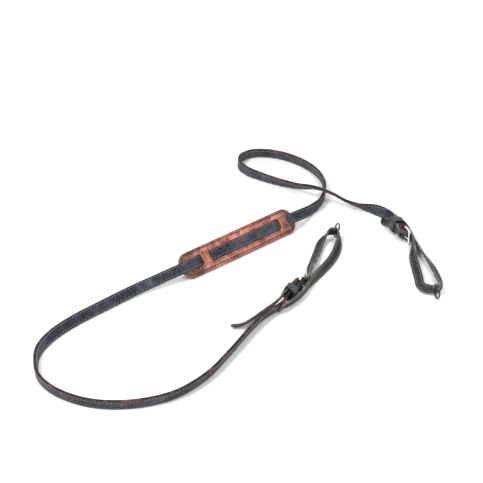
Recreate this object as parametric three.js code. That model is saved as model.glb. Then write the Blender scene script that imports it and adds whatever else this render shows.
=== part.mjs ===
// Neck strap of leather: a long stitched strap woven through a wide
// shoulder pad, with a buckled end loop and a steel lug ring at each end.
// Millimetres, +Z up, the floor at z = 0. The strap lies loose on its lower edge, as thrown down:
// one big loop toward the viewer, one small loop behind, the second crossing over the first.
import * as THREE from 'three';
import { mergeVertices } from 'three/addons/utils/BufferGeometryUtils.js';

// Leather sizes.
const STRAP = { width: 11, thickness: 2.8, skived: 1.9, narrowed: 9.6 };
const END = { width: 9, thickness: 1.9 };
const PAD = { length: 146, width: 26.5, thickness: 2.6, corner: 11 };
const SLOT = { length: 5.5, bridge: 9, clearance: 0.7, rise: 4.6, fade: 4.9, gap: 0.55 };
const KEEPER = { length: 9, wall: 1.4, slack: 1.6, corner: 2.2, innerCorner: 0.9, shift: 1.25 };
const GAP = 0.35;

// Metal sizes.
const FRAME = { width: 16.4, length: 12.8, wire: 1.1, corner: 1.6 };
const PRONG = { wire: 0.7, slot: 2.8, strapSlot: 15.6, hole: 7.4, play: 0.25, over: 1.6 };
const RING = { radius: 7, wire: 0.9, ahead: 2.6 };

// How the strap is laid out on the floor.
const LAYOUT = { length: 400, depth: 450 };
const REACH = 145;
const SPREAD = 12.7;
const PAD_POSE = { along: -0.00875, away: -0.0444, heading: 41, lean: -44 };
const UNIT = { height: 8.6, side: -1, turn: 6.3, keeperLean: 24, buckleLean: 2, from: 0.15, to: 0.22 };
const NEAR = { name: 'near', along: 0.09325, away: -0.2795, heading: 66.1, hand: 1, tail: 1 };
const FAR = { name: 'far', along: 0.375, away: 0.0889, heading: -75, hand: -1, tail: 0.25 };

const COLOURS = { navy: 0x2c2e36, tan: 0x9c5236, steel: 0xc9cbd0, dark: 0x3b342f };

const UP = new THREE.Vector3(0, 0, 1);
const rad = THREE.MathUtils.degToRad;
const vec = (x, y, z) => new THREE.Vector3(x, y, z);

/** Height of a strap's middle above the floor when it rests on its lower edge. */
function restHeight(size, top) {
  return (size.width / 2) * top.z + (size.thickness / 2) * Math.sqrt(1 - top.z ** 2);
}

/** A curve with a top direction at every place: the middle line of a flat strap. */
class Route {
  constructor(rows) {
    this.rows = rows;
    this.line = new THREE.CatmullRomCurve3(rows.map((row) => row.at), false, 'centripetal');
    this.tops = new THREE.CatmullRomCurve3(rows.map((row) => row.top), false, 'centripetal');
    this.measure(24);
  }

  measure(perRow) {
    this.per = perRow;
    this.count = (this.rows.length - 1) * perRow;
    this.reached = [0];
    let before = this.line.getPoint(0);
    for (let i = 1; i <= this.count; i += 1) {
      const here = this.line.getPoint(i / this.count);
      this.reached.push(this.reached[i - 1] + here.distanceTo(before));
      before = here;
    }
    this.length = this.reached[this.count];
  }

  distanceAtRow(index) {
    return this.reached[index * this.per];
  }

  share(distance) {
    const wanted = THREE.MathUtils.clamp(distance, 0, this.length);
    let low = 0;
    let high = this.count;
    while (high - low > 1) {
      const middle = (low + high) >> 1;
      if (this.reached[middle] > wanted) high = middle;
      else low = middle;
    }
    const step = this.reached[high] - this.reached[low];
    return (low + (step > 0 ? (wanted - this.reached[low]) / step : 0)) / this.count;
  }

  frame(distance) {
    const share = this.share(distance);
    const at = this.line.getPoint(share);
    const ahead = this.line.getTangent(share).normalize();
    const top = this.tops.getPoint(share);
    top.addScaledVector(ahead, -top.dot(ahead)).normalize();
    return { at, ahead, top, face: vec().crossVectors(ahead, top) };
  }

  /** The point at a distance along, a height across and an offset toward the face. */
  place(distance, across, out) {
    const { at, top, face } = this.frame(distance);
    return at.addScaledVector(top, across).addScaledVector(face, out);
  }

  /** Distances close enough together that no step turns or travels too far. */
  stations(from, to, longest, turn) {
    const fine = 0.5;
    const list = [from];
    let last = this.frame(from);
    for (let d = from + fine; d < to - fine; d += fine) {
      const here = this.frame(d);
      const bent = Math.max(here.ahead.angleTo(last.ahead), here.top.angleTo(last.top));
      if (d - list[list.length - 1] >= longest || bent >= rad(turn)) {
        list.push(d);
        last = here;
      }
    }
    list.push(to);
    return list;
  }
}

/** Top direction of a strap that heads one way on the floor and leans to its right by an angle. */
function topFor(heading, lean) {
  const right = vec(heading.y, -heading.x, 0).normalize();
  return vec(0, 0, Math.cos(rad(lean))).addScaledVector(right, Math.sin(rad(lean)));
}

/** Rows of a route from floor places: the lean is turned into a top direction. */
function layOnFloor(places, size) {
  return places.map((row, i) => {
    const before = places[Math.max(i - 1, 0)];
    const after = places[Math.min(i + 1, places.length - 1)];
    const heading = vec(after.x - before.x, after.y - before.y, 0);
    const top = topFor(heading, row.lean);
    return { at: vec(row.x, row.y, restHeight(size, top) + (row.lift ?? 0) * size.width), top };
  });
}

/** Turns a mesh's faces outward when its signed volume comes out negative. */
function outward(geometry) {
  const p = geometry.getAttribute('position');
  const index = geometry.getIndex();
  let volume = 0;
  const [a, b, c] = [vec(), vec(), vec()];
  for (let i = 0; i < index.count; i += 3) {
    a.fromBufferAttribute(p, index.getX(i));
    b.fromBufferAttribute(p, index.getX(i + 1));
    c.fromBufferAttribute(p, index.getX(i + 2));
    volume += a.dot(b.cross(c));
  }
  if (volume < 0) {
    for (let i = 0; i < index.count; i += 3) {
      const first = index.getX(i);
      index.setX(i, index.getX(i + 2));
      index.setX(i + 2, first);
    }
  }
  geometry.computeVertexNormals();
  return geometry;
}

/** A geometry of four-cornered faces over a numbered set of points. */
function fromQuads(points, quads) {
  const positions = points.flatMap((point) => [point.x, point.y, point.z]);
  const triangles = quads.flatMap(([a, b, c, d]) => [a, b, c, a, c, d]);
  const geometry = new THREE.BufferGeometry();
  geometry.setAttribute('position', new THREE.Float32BufferAttribute(positions, 3));
  geometry.setIndex(triangles);
  return outward(geometry);
}

/**
 * A sheet of leather: a grid of cells with a front, a back and a wall on every open edge.
 * `place(u, share, side)` gives a corner; cells whose middle is in a window are left out.
 */
function sheet(along, across, place, windows = []) {
  const points = [];
  const wide = across.length;
  const number = (i, j, back) => (back ? along.length * wide : 0) + i * wide + j;
  for (const side of [1, -1]) {
    for (const u of along) across.forEach((share) => points.push(place(u, share, side)));
  }
  const open = (i, j) => {
    if (i < 0 || j < 0 || i >= along.length - 1 || j >= wide - 1) return true;
    const u = (along[i] + along[i + 1]) / 2;
    const v = (across[j] + across[j + 1]) / 2;
    return windows.some((w) => u > w.from && u < w.to && v > w.low && v < w.high);
  };
  const quads = [];
  const wall = (i, j, k, l) => {
    quads.push([number(k, l, false), number(i, j, false), number(i, j, true), number(k, l, true)]);
  };
  for (let i = 0; i < along.length - 1; i += 1) {
    for (let j = 0; j < wide - 1; j += 1) {
      if (open(i, j)) continue;
      const corners = [[i, j], [i + 1, j], [i + 1, j + 1], [i, j + 1]];
      quads.push(corners.map(([a, b]) => number(a, b, true)));
      quads.push(corners.map(([a, b]) => number(a, b, false)).reverse());
      if (open(i - 1, j)) wall(i, j, i, j + 1);
      if (open(i + 1, j)) wall(i + 1, j + 1, i + 1, j);
      if (open(i, j - 1)) wall(i + 1, j, i, j);
      if (open(i, j + 1)) wall(i, j + 1, i + 1, j + 1);
    }
  }
  return dropUnused(fromQuads(points, quads));
}

/** Leaves out the points that no face uses. */
function dropUnused(geometry) {
  const loose = geometry.toNonIndexed();
  loose.deleteAttribute('normal');
  const clean = mergeVertices(loose, 1e-4);
  clean.computeVertexNormals();
  return clean;
}

/** A round rod along a list of points; a closed one joins its end to its start. */
function rod(path, radiusAt, sides, closed) {
  const count = path.length;
  const rings = path.map((point, i) => {
    const before = path[closed ? (i + count - 1) % count : Math.max(i - 1, 0)];
    const after = path[closed ? (i + 1) % count : Math.min(i + 1, count - 1)];
    return { point, ahead: vec().subVectors(after, before).normalize() };
  });
  let side = vec(0.31, 0.47, 0.83);
  const points = [];
  rings.forEach(({ point, ahead }, i) => {
    side = side.clone().addScaledVector(ahead, -side.dot(ahead)).normalize();
    const other = vec().crossVectors(ahead, side);
    for (let k = 0; k < sides; k += 1) {
      const turn = (2 * Math.PI * k) / sides;
      const radius = radiusAt(i / (count - 1));
      points.push(point.clone().addScaledVector(side, radius * Math.cos(turn))
        .addScaledVector(other, radius * Math.sin(turn)));
    }
  });
  // A closed rod joins up on the corner that its carried side direction came back to.
  let shift = 0;
  if (closed) {
    let best = Infinity;
    for (let k = 0; k < sides; k += 1) {
      const away = points[(count - 1) * sides].distanceTo(points[k]);
      if (away < best) {
        best = away;
        shift = k;
      }
    }
  }
  const quads = [];
  for (let i = 0; i < (closed ? count : count - 1); i += 1) {
    const last = i === count - 1;
    for (let k = 0; k < sides; k += 1) {
      const turn = last ? shift : 0;
      const next = ((i + 1) % count) * sides;
      const near = i * sides;
      quads.push([near + k, near + ((k + 1) % sides),
        next + ((k + 1 + turn) % sides), next + ((k + turn) % sides)]);
    }
  }
  const geometry = fromQuads(points, quads);
  return closed ? geometry : capped(geometry, points, count, sides);
}

/** Closes both ends of an open rod with a fan of triangles. */
function capped(geometry, points, count, sides) {
  const index = Array.from(geometry.getIndex().array);
  const flipped = index[0] !== 0;
  const fan = (start, reverse) => {
    for (let k = 1; k < sides - 1; k += 1) {
      const face = [start, start + k, start + k + 1];
      index.push(...(reverse ? face.reverse() : face));
    }
  };
  fan(0, !flipped);
  fan((count - 1) * sides, flipped);
  geometry.setIndex(index);
  return outward(geometry);
}

/** A rounded rectangle as a closed list of [a, b] pairs. */
function roundedRectangle(width, height, corner, steps) {
  const outline = [];
  const centres = [[1, 1], [-1, 1], [-1, -1], [1, -1]];
  centres.forEach(([sx, sy], quarter) => {
    for (let k = 0; k <= steps; k += 1) {
      const turn = ((quarter + k / steps) * Math.PI) / 2;
      outline.push([sx * (width / 2 - corner) + corner * Math.cos(turn),
        sy * (height / 2 - corner) + corner * Math.sin(turn)]);
    }
  });
  return outline;
}

/** A short sleeve: a closed wall between two outlines, from one distance to another. */
function sleeve(inner, outer, from, to, place) {
  const count = inner.length;
  const points = [];
  for (const [outline, u] of [[outer, from], [outer, to], [inner, from], [inner, to]]) {
    outline.forEach(([a, b]) => points.push(place(u, a, b)));
  }
  const quads = [];
  for (let k = 0; k < count; k += 1) {
    const n = (k + 1) % count;
    const [o0, o1, i0, i1] = [0, 1, 2, 3].map((row) => row * count);
    quads.push([o0 + k, o0 + n, o1 + n, o1 + k]);
    quads.push([i0 + n, i0 + k, i1 + k, i1 + n]);
    quads.push([o0 + n, o0 + k, i0 + k, i0 + n]);
    quads.push([o1 + k, o1 + n, i1 + n, i1 + k]);
  }
  return fromQuads(points, quads);
}

// The pad and the weave of the strap through its two bridges.

const padHeading = vec(Math.cos(rad(PAD_POSE.heading)), Math.sin(rad(PAD_POSE.heading)), 0);
const padTop = topFor(padHeading, PAD_POSE.lean);
const padFace = vec().crossVectors(padHeading, padTop);
const padMiddle = vec(
  PAD_POSE.along * LAYOUT.length, PAD_POSE.away * LAYOUT.depth, restHeight(PAD, padTop));
const BRIDGES = [-0.3 * PAD.length, 0.39 * PAD.length];

function onPad(u, across, out) {
  return padMiddle.clone().addScaledVector(padHeading, u)
    .addScaledVector(padTop, across).addScaledVector(padFace, out);
}

const smooth = (x) => THREE.MathUtils.smoothstep(x, 0, 1);

/** How far the pad's leather is raised: over the strap at a bridge, fading out beside it. */
function bridgeRise(u, across) {
  const half = STRAP.width / 2 + SLOT.clearance;
  return BRIDGES.reduce((most, middle) => {
    const beside = 1 - smooth((Math.abs(across) - half) / SLOT.fade);
    const beyond = 1 - smooth((Math.abs(u - middle) - SLOT.bridge / 2) / SLOT.fade);
    return Math.max(most, SLOT.rise * beside * beyond);
  }, 0);
}

/** The strap lies on the pad's front and dips a little to go under each bridge. */
function weaveOffset(u) {
  const over = PAD.thickness / 2 + SLOT.gap + STRAP.thickness / 2;
  const under = SLOT.rise - PAD.thickness / 2 - SLOT.gap - STRAP.thickness / 2;
  return BRIDGES.reduce((offset, middle) => {
    const dip = 1 - smooth((Math.abs(u - middle) - SLOT.bridge / 2) / SLOT.length);
    return offset - (over - under) * dip;
  }, over);
}

function padSheet() {
  const half = PAD.length / 2;
  const along = new Set();
  for (let k = 0; k <= 8; k += 1) {
    const reach = half - PAD.corner + PAD.corner * Math.sin((k / 8) * (Math.PI / 2));
    along.add(reach).add(-reach);
  }
  for (const middle of BRIDGES) {
    const side = SLOT.bridge / 2;
    for (const s of [-1, 1]) {
      for (const step of [0, 0.33, 0.66, 1]) along.add(middle + s * (side + step * SLOT.length));
    }
    along.add(middle);
  }
  for (let k = -2; k <= 2; k += 1) along.add(k * 12 + 6);
  const lines = [...along].filter((u) => Math.abs(u) <= half).sort((a, b) => a - b);
  const steps = lines.filter((u, i) => i === 0 || u - lines[i - 1] > 0.05);
  const slot = (STRAP.width / 2 + SLOT.clearance) / (PAD.width / 2);
  const fade = slot + SLOT.fade / (PAD.width / 2);
  const rows = [slot, (2 * slot + fade) / 3, (slot + 2 * fade) / 3, fade, 1];
  const across = [...rows.map((row) => -row).reverse(), -slot / 2, 0, slot / 2, ...rows];
  const halfWidth = (u) => {
    const into = Math.max(0, Math.abs(u) - (half - PAD.corner));
    return PAD.width / 2 - PAD.corner + Math.sqrt(Math.max(0, PAD.corner ** 2 - into ** 2));
  };
  const windows = BRIDGES.flatMap((middle) => [-1, 1].map((s) => {
    const ends = [middle + s * (SLOT.bridge / 2), middle + s * (SLOT.bridge / 2 + SLOT.length)];
    return { from: Math.min(...ends), to: Math.max(...ends), low: -slot, high: slot };
  }));
  const place = (u, share, side) => {
    const v = share * halfWidth(u);
    return onPad(u, v, bridgeRise(u, v) + (side * PAD.thickness) / 2);
  };
  return sheet(steps, across, place, windows);
}

/** Rows of the strap where it runs along the pad. */
function weaveRows() {
  const rows = [];
  const marks = [-0.5, -0.418, -0.137, 0.034, 0.192, 0.5].map((share) => share * PAD.length);
  for (const middle of BRIDGES) {
    const end = SLOT.bridge / 2 + SLOT.length;
    for (const step of [-end - 1, -end + 1.5, -SLOT.bridge / 2 - 1.2, 0]) marks.push(middle + step);
    for (const step of [SLOT.bridge / 2 + 1.2, end - 1.5, end + 1]) marks.push(middle + step);
  }
  marks.sort((a, b) => a - b);
  for (const u of marks) rows.push({ at: onPad(u, 0, weaveOffset(u)), top: padTop.clone() });
  return rows;
}

// The buckled ends. Each has its own axes: reach toward the ring, side toward the free tail.

/** Turns reach and side of one end into a place on the floor. */
function endPlace(end, reach, side) {
  const angle = rad(end.heading);
  return {
    x: end.along * LAYOUT.length + reach * Math.cos(angle) - end.hand * side * Math.sin(angle),
    y: end.away * LAYOUT.depth + reach * Math.sin(angle) + end.hand * side * Math.cos(angle),
  };
}

/** Top direction of leather in one end; a positive lean tips the top away from the tail. */
function endTop(end, lean) {
  const angle = rad(end.heading);
  const side = vec(-Math.sin(angle), Math.cos(angle), 0).multiplyScalar(end.hand);
  return vec(0, 0, Math.cos(rad(lean))).addScaledVector(side, -Math.sin(rad(lean)));
}

/** How far the leather leans at a reach: it twists upright between the keeper and the buckle. */
function unitLean(reach) {
  const share = (reach / REACH - UNIT.from) / (UNIT.to - UNIT.from);
  return THREE.MathUtils.lerp(UNIT.keeperLean, UNIT.buckleLean, smooth(share));
}

/** Directions in the buckle's own axes: ahead to the ring, top across the leather, front to the tail. */
function unitAxes(end, lean) {
  const angle = rad(end.heading - end.hand * UNIT.turn);
  const side = vec(-Math.sin(angle), Math.cos(angle), 0).multiplyScalar(end.hand);
  const [sine, cosine] = [Math.sin(rad(lean)), Math.cos(rad(lean))];
  return {
    ahead: vec(Math.cos(angle), Math.sin(angle), 0),
    top: vec(0, 0, cosine).addScaledVector(side, -sine),
    front: vec(0, 0, sine).addScaledVector(side, cosine),
  };
}

/** A place in the buckle's own axes: reach, height across the leather, offset to the tail side. */
function unitPlace(end, reach, across, out, lean = unitLean(reach)) {
  const { ahead, top, front } = unitAxes(end, lean);
  const start = endPlace(end, KEEPER_REACH, UNIT.side);
  return vec(start.x, start.y, UNIT.height)
    .addScaledVector(ahead, reach - KEEPER_REACH)
    .addScaledVector(top, across)
    .addScaledVector(front, out);
}

const unitRow = (end, reach, out) => ({
  at: unitPlace(end, reach, 0, out),
  top: unitAxes(end, unitLean(reach)).top,
});

const BAR_REACH = 0.27 * REACH;
const FOLD = FRAME.wire + 1.4 * GAP + STRAP.skived / 2;
const RING_LIFT = (RING.radius + RING.wire - END.width / 2) / END.width;
const KEEPER_REACH = 0.155 * REACH;

/** Rows of the strap from where the end strap is sewn on, round the buckle's bar and back. */
function buckleRows(end) {
  const rows = [
    { reach: 0.105, out: 0.3 }, { reach: 0.14, out: 0.8 }, { reach: 0.185, out: 1.2 },
    { reach: 0.235, out: 1.9 },
  ].map((row) => unitRow(end, row.reach * REACH, row.out));
  for (let k = 0; k <= 8; k += 1) {
    const turn = Math.PI / 2 - (k / 8) * Math.PI;
    rows.push(unitRow(end, BAR_REACH + FOLD * Math.cos(turn), FOLD * Math.sin(turn)));
  }
  const back = [{ reach: 0.235, out: -1.9 }, { reach: 0.185, out: -1.7 }, { reach: 0.13, out: -1.9 }];
  rows.push(...back.map((row) => unitRow(end, row.reach * REACH, row.out)));
  return rows;
}

// Where the strap comes to an end: reach and side as shares of REACH and SPREAD.
const APPROACH = [
  { reach: -0.083, side: 0.5, lean: 22 },
  { reach: -0.028, side: 0.2, lean: 26, lift: 0.06 },
  { reach: 0.045, side: 0.03, lean: 29, lift: 0.19 },
];

// The right leg of the end loop, from the sewn end to the ring.
const RIGHT_LEG = [
  { reach: 0.075, side: -0.41, lean: 22, lift: 0.08 },
  { reach: 0.165, side: -0.68, lean: 12, lift: 0.12 },
  { reach: 0.247, side: -0.72, lean: 5, lift: 0.08 },
  { reach: 0.347, side: -0.7, lean: -5, lift: 0.02 },
  { reach: 0.437, side: -0.77, lean: -20, lift: 0 },
  { reach: 0.551, side: -0.86, lean: -38, lift: 0 },
  { reach: 0.686, side: -0.92, lean: -52, lift: 0 },
  { reach: 0.817, side: -0.79, lean: -52, lift: 0.02 },
  { reach: 0.92, side: -0.5, lean: -30, lift: 0.2 },
];

// Round the ring, standing on edge.
const RING_TURN = [
  { reach: 0.975, side: -0.22, lean: -10, lift: RING_LIFT },
  { reach: 0.992, side: -0.02, lean: 0, lift: RING_LIFT },
  { reach: 0.995, side: 0.12, lean: 0, lift: RING_LIFT },
  { reach: 0.992, side: 0.26, lean: 0, lift: RING_LIFT },
  { reach: 0.975, side: 0.5, lean: 12, lift: RING_LIFT },
];

// The left leg, from the ring to the buckle.
const LEFT_LEG = [
  { reach: 0.93, side: 0.74, lean: 45, lift: 0.2 },
  { reach: 0.865, side: 0.8, lean: 66, lift: 0.02 },
  { reach: 0.77, side: 0.59, lean: 70, lift: 0 },
  { reach: 0.63, side: 0.3, lean: 62, lift: 0.05 },
  { reach: 0.53, side: 0.1, lean: 47, lift: 0.18 },
];

// The free tail after the keeper.
const TAIL = [
  { reach: 0.075, side: 0.5, lean: 33, lift: 0.2 },
  { reach: 0.02, side: 0.71, lean: 34, lift: 0.05 },
  { reach: -0.088, side: 1.08, lean: 35, lift: 0 },
  { reach: -0.2, side: 1.44, lean: 38, lift: 0 },
  { reach: -0.283, side: 1.9, lean: 50, lift: 0 },
  { reach: -0.314, side: 2.5, lean: 60, lift: 0 },
];

function endRows(end, table, size) {
  const places = table.map((row) => endPlace(end, row.reach * REACH, row.side * SPREAD));
  return table.map((row, i) => {
    const before = places[Math.max(i - 1, 0)];
    const after = places[Math.min(i + 1, places.length - 1)];
    const ahead = vec(after.x - before.x, after.y - before.y, 0).normalize();
    const top = endTop(end, row.lean);
    top.addScaledVector(ahead, -top.dot(ahead)).normalize();
    const height = restHeight(size, top) + (row.lift ?? 0) * size.width;
    return { at: vec(places[i].x, places[i].y, height), top };
  });
}

// The strap's way over the floor, from the near end to the far one.
// `along` and `away` are shares of the layout's length and depth, `lift` of the strap's width.
const BIG_LOOP = [
  { along: 0.049, away: -0.318, lean: -20 },
  { along: 0.02, away: -0.362, lean: -20 },
  { along: -0.027, away: -0.445, lean: -18 },
  { along: -0.082, away: -0.53, lean: -15 },
  { along: -0.154, away: -0.592, lean: -15 },
  { along: -0.245, away: -0.62, lean: -15 },
  { along: -0.334, away: -0.616, lean: -15 },
  { along: -0.412, away: -0.579, lean: -12 },
  { along: -0.454, away: -0.532, lean: -8 },
  { along: -0.466, away: -0.485, lean: -8 },
  { along: -0.464, away: -0.437, lean: -15 },
  { along: -0.438, away: -0.383, lean: -24 },
  { along: -0.39, away: -0.328, lean: -30 },
  { along: -0.334, away: -0.279, lean: -33 },
  { along: -0.25, away: -0.212, lean: -36, lift: 0.08 },
];
const SMALL_LOOP = [
  { along: 0.176, away: 0.113, lean: -8, lift: 0.05 },
  { along: 0.202, away: 0.15, lean: 5 },
  { along: 0.215, away: 0.204, lean: 5 },
  { along: 0.209, away: 0.261, lean: -8 },
  { along: 0.181, away: 0.31, lean: -10 },
  { along: 0.129, away: 0.354, lean: -14 },
  { along: 0.071, away: 0.376, lean: -15 },
  { along: 0.023, away: 0.373, lean: -12 },
  { along: -0.002, away: 0.352, lean: -5 },
  { along: -0.005, away: 0.324, lean: 0 },
  { along: 0.014, away: 0.293, lean: 3 },
  { along: 0.049, away: 0.268, lean: 12 },
  { along: 0.088, away: 0.246, lean: 20 },
  { along: 0.126, away: 0.226, lean: 30, lift: 0.1 },
  { along: 0.152, away: 0.207, lean: 39, lift: 0.38 },
  { along: 0.182, away: 0.185, lean: 49, lift: 0.86 },
  { along: 0.209, away: 0.165, lean: 54, lift: 1.09 },
  { along: 0.24, away: 0.151, lean: 54, lift: 0.86 },
  { along: 0.268, away: 0.142, lean: 52, lift: 0.42 },
  { along: 0.3, away: 0.133, lean: 44, lift: 0.1 },
];

function strapRoute() {
  const onFloor = (table) => table.map((row) => ({
    ...row, x: row.along * LAYOUT.length, y: row.away * LAYOUT.depth,
  }));
  const rows = [
    ...buckleRows(NEAR).reverse(),
    ...endRows(NEAR, APPROACH, STRAP).reverse(),
    ...layOnFloor(onFloor(BIG_LOOP), STRAP),
    ...weaveRows(),
    ...layOnFloor(onFloor(SMALL_LOOP), STRAP),
    ...endRows(FAR, APPROACH, STRAP),
    ...buckleRows(FAR),
  ];
  return new Route(rows);
}

const strap = strapRoute();
const FOLD_ROWS = buckleRows(NEAR).length;
const APEX_ROW = 8;
const sewnAt = {
  near: strap.distanceAtRow(FOLD_ROWS + 1),
  far: strap.distanceAtRow(strap.rows.length - 1 - FOLD_ROWS - 1),
};
const barAt = {
  near: strap.distanceAtRow(FOLD_ROWS - 1 - APEX_ROW),
  far: strap.distanceAtRow(strap.rows.length - FOLD_ROWS + APEX_ROW),
};

/** How far the strap has thinned and narrowed, from 0 along its length to 1 at a bar. */
function skive(distance) {
  const near = sewnAt.near - 12;
  const far = sewnAt.far + 12;
  return Math.max(smooth((near - distance) / 12), smooth((distance - far) / 12));
}

function strapSheet() {
  const slot = PRONG.slot / STRAP.narrowed;
  const windows = [barAt.near, barAt.far].map((at) => ({
    from: at - PRONG.strapSlot / 2, to: at + PRONG.strapSlot / 2, low: -slot, high: slot,
  }));
  const stops = windows.flatMap((w) => [w.from, w.to]).sort((a, b) => a - b);
  const along = [];
  let from = 0;
  for (const to of [...stops, strap.length]) {
    along.push(...strap.stations(from, to, 13, 9).slice(along.length ? 1 : 0));
    from = to;
  }
  const place = (d, share, side) => {
    const width = THREE.MathUtils.lerp(STRAP.width, STRAP.narrowed, skive(d));
    const thickness = THREE.MathUtils.lerp(STRAP.thickness, STRAP.skived, skive(d));
    return strap.place(d, (share * width) / 2, (side * thickness) / 2);
  };
  return sheet(along, [-1, -slot, slot, 1], place, windows);
}

/** The end strap of one end: sewn end, right leg, ring, left leg, buckle, keeper, free tail. */
function endRoute(end) {
  const sewn = sewnAt[end.name];
  const onward = end.name === 'near' ? -1 : 1;
  const apart = STRAP.thickness / 2 + 1.3 * GAP + END.thickness / 2;
  const sewnRows = [1, 4, 7].map((step) => {
    const { at, top, face } = strap.frame(sewn + onward * step);
    return { at: at.addScaledVector(face, -apart), top };
  });
  const behind = -(FRAME.wire + GAP + END.thickness / 2);
  const before = FOLD + STRAP.skived / 2 + GAP + END.thickness / 2;
  const railReach = BAR_REACH + FRAME.length - 2 * FRAME.wire;
  const throughBuckle = [
    [railReach + 3, behind - 0.2], [railReach - 0.6, behind], [railReach - 3.2, behind + 2.1],
    [BAR_REACH + 3.6, before - 1.3], [BAR_REACH + 1, before + 0.1], [BAR_REACH - 2, before + 0.1],
    [BAR_REACH - 6, before - 0.2], [KEEPER_REACH + 4.5, 4.1], [KEEPER_REACH - 3, 4],
    [KEEPER_REACH - 6, 4.2],
  ].map(([reach, out]) => unitRow(end, reach, out));
  const tail = end.tail === 1 ? TAIL : TAIL.slice(0, 2);
  const tailRows = endRows(end, tail, END);
  return new Route([
    ...sewnRows,
    ...endRows(end, RIGHT_LEG, END),
    ...endRows(end, RING_TURN, END),
    ...endRows(end, LEFT_LEG, END),
    ...throughBuckle,
    ...tailRows,
  ]);
}

function endStrapSheet(end, route) {
  const crossing = 3 + RIGHT_LEG.length + RING_TURN.length + LEFT_LEG.length + 3;
  const middle = route.distanceAtRow(crossing) - 0.6;
  const slot = PRONG.slot / END.width;
  const windows = [{
    from: middle - PRONG.hole / 2, to: middle + PRONG.hole / 2, low: -slot, high: slot,
  }];
  const tip = END.width / 2;
  const along = [
    ...route.stations(0, windows[0].from, 12, 10),
    ...route.stations(windows[0].from, windows[0].to, 2, 10).slice(1),
    ...route.stations(windows[0].to, route.length - tip, 12, 10).slice(1),
  ];
  for (let k = 1; k <= 5; k += 1) {
    along.push(route.length - tip + tip * Math.sin((k / 5) * (Math.PI / 2)) * 0.98);
  }
  const halfWidth = (d) => {
    const into = Math.max(0, d - (route.length - tip));
    return Math.sqrt(Math.max(0, tip ** 2 - into ** 2));
  };
  const place = (d, share, side) => route.place(
    d, share * halfWidth(d), (side * END.thickness) / 2);
  return sheet(along, [-1, -slot, slot, 1], place, windows);
}

function keeperSleeve(end) {
  const high = STRAP.width + 2 * GAP + 2 * KEEPER.wall;
  const deep = 2 * KEEPER.wall + KEEPER.slack + STRAP.thickness + STRAP.skived + END.thickness
    + 4 * GAP - 0.6;
  const outer = roundedRectangle(high, deep, KEEPER.corner, 4);
  const inner = roundedRectangle(
    high - 2 * KEEPER.wall, deep - 2 * KEEPER.wall, KEEPER.innerCorner, 4);
  const from = KEEPER_REACH - KEEPER.length / 2;
  return sleeve(inner, outer, from, from + KEEPER.length,
    (u, a, b) => unitPlace(end, u, a, b + KEEPER.shift));
}

function buckleFrame(end) {
  const outline = roundedRectangle(
    FRAME.length - 2 * FRAME.wire, FRAME.width - 2 * FRAME.wire, FRAME.corner, 4);
  const middle = BAR_REACH + FRAME.length / 2 - FRAME.wire;
  const path = outline.map(([a, b]) => unitPlace(end, middle + a, b, 0, UNIT.buckleLean));
  return rod(path, () => FRAME.wire, 8, true);
}

/** The prong: an eye round the bar, then a straight tongue that rests on the far rail. */
function buckleProng(end) {
  const eye = FRAME.wire + PRONG.play + PRONG.wire;
  const path = [];
  for (let k = 0; k <= 10; k += 1) {
    const turn = rad(-120 - (k / 10) * 150);
    path.push(unitPlace(
      end, BAR_REACH + eye * Math.cos(turn), 0, eye * Math.sin(turn), UNIT.buckleLean));
  }
  const tip = FRAME.length - 2 * FRAME.wire + PRONG.over;
  for (const share of [0.25, 0.5, 0.75, 0.92, 1]) {
    path.push(unitPlace(end, BAR_REACH + share * tip, 0, eye + 0.15, UNIT.buckleLean));
  }
  return rod(path, (share) => PRONG.wire * (share > 0.97 ? 0.6 : 1), 8, false);
}

function lugRing(end) {
  const centre = endPlace(end, 0.995 * REACH + RING.ahead, 0.12 * SPREAD);
  const angle = rad(end.heading);
  const path = [];
  for (let k = 0; k < 28; k += 1) {
    const turn = (2 * Math.PI * k) / 28;
    path.push(vec(centre.x + RING.radius * Math.cos(turn) * Math.cos(angle),
      centre.y + RING.radius * Math.cos(turn) * Math.sin(angle),
      RING.radius + RING.wire + RING.radius * Math.sin(turn)));
  }
  return rod(path, () => RING.wire, 8, true);
}

const root = new THREE.Group();
root.name = 'neck_strap';

function add(name, geometry, colour, metal) {
  const material = new THREE.MeshStandardMaterial({
    color: colour, roughness: metal ? 0.3 : 0.65, metalness: metal ? 1 : 0,
  });
  material.name = metal ? 'metal' : 'leather';
  const mesh = new THREE.Mesh(geometry, material);
  mesh.name = name;
  root.add(mesh);
}

add('strap', strapSheet(), COLOURS.navy, false);
add('shoulder_pad', padSheet(), COLOURS.tan, false);
for (const end of [NEAR, FAR]) {
  const route = endRoute(end);
  add(`end_strap_${end.name}`, endStrapSheet(end, route), COLOURS.navy, false);
  add(`keeper_${end.name}`, keeperSleeve(end), COLOURS.navy, false);
  add(`buckle_frame_${end.name}`, buckleFrame(end), COLOURS.steel, true);
  add(`buckle_prong_${end.name}`, buckleProng(end), COLOURS.steel, true);
  add(`lug_ring_${end.name}`, lugRing(end), COLOURS.dark, true);
}

// The origin goes to the middle of the bottom of the whole object's box.
const box = new THREE.Box3().setFromObject(root);
const middle = box.getCenter(vec());
root.children.forEach((mesh) => mesh.geometry.translate(-middle.x, -middle.y, -box.min.z));

export default root;
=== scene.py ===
"""The looks of a leather neck strap: rounded leather, stitches, metal and light."""

import math

import bmesh
import bpy
import numpy as np
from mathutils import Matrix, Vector, geometry


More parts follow.
